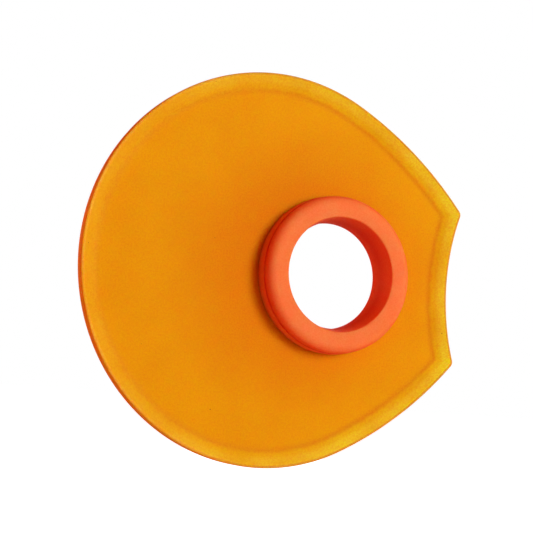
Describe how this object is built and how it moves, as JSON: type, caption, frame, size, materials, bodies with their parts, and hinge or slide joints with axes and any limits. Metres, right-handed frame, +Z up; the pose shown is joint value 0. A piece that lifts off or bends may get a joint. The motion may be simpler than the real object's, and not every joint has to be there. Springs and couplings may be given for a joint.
{
  "type": "light-guide glare shield",
  "caption": "Amber disc shield with a raised rim and a concave notch, turning on a soft ring that grips a round light guide.",
  "frame": {"origin": "on the axis of the ring's bore, at the plate's front face", "axes": "Y is the bore axis, with the raised rim and the thick collar towards -Y; X is the plate's line of symmetry, with the notch at +X; +Z is up"},
  "size_m": [0.0623, 0.0069, 0.06],
  "materials": {
    "amber_plastic": "frosted translucent amber moulding, fine satin grain on both faces",
    "orange_silicone": "matte opaque orange silicone rubber"
  },
  "bodies": {
    "ring": {"silicone_ring": "orange_silicone"},
    "plate": {"shield_plate": "amber_plastic"}
  },
  "joints": [
    {"name": "plate_turn", "type": "hinge", "parent": "ring", "child": "plate", "pos_m": [0, 0, 0], "axis": [0, 1, 0], "continuous": true}
  ]
}
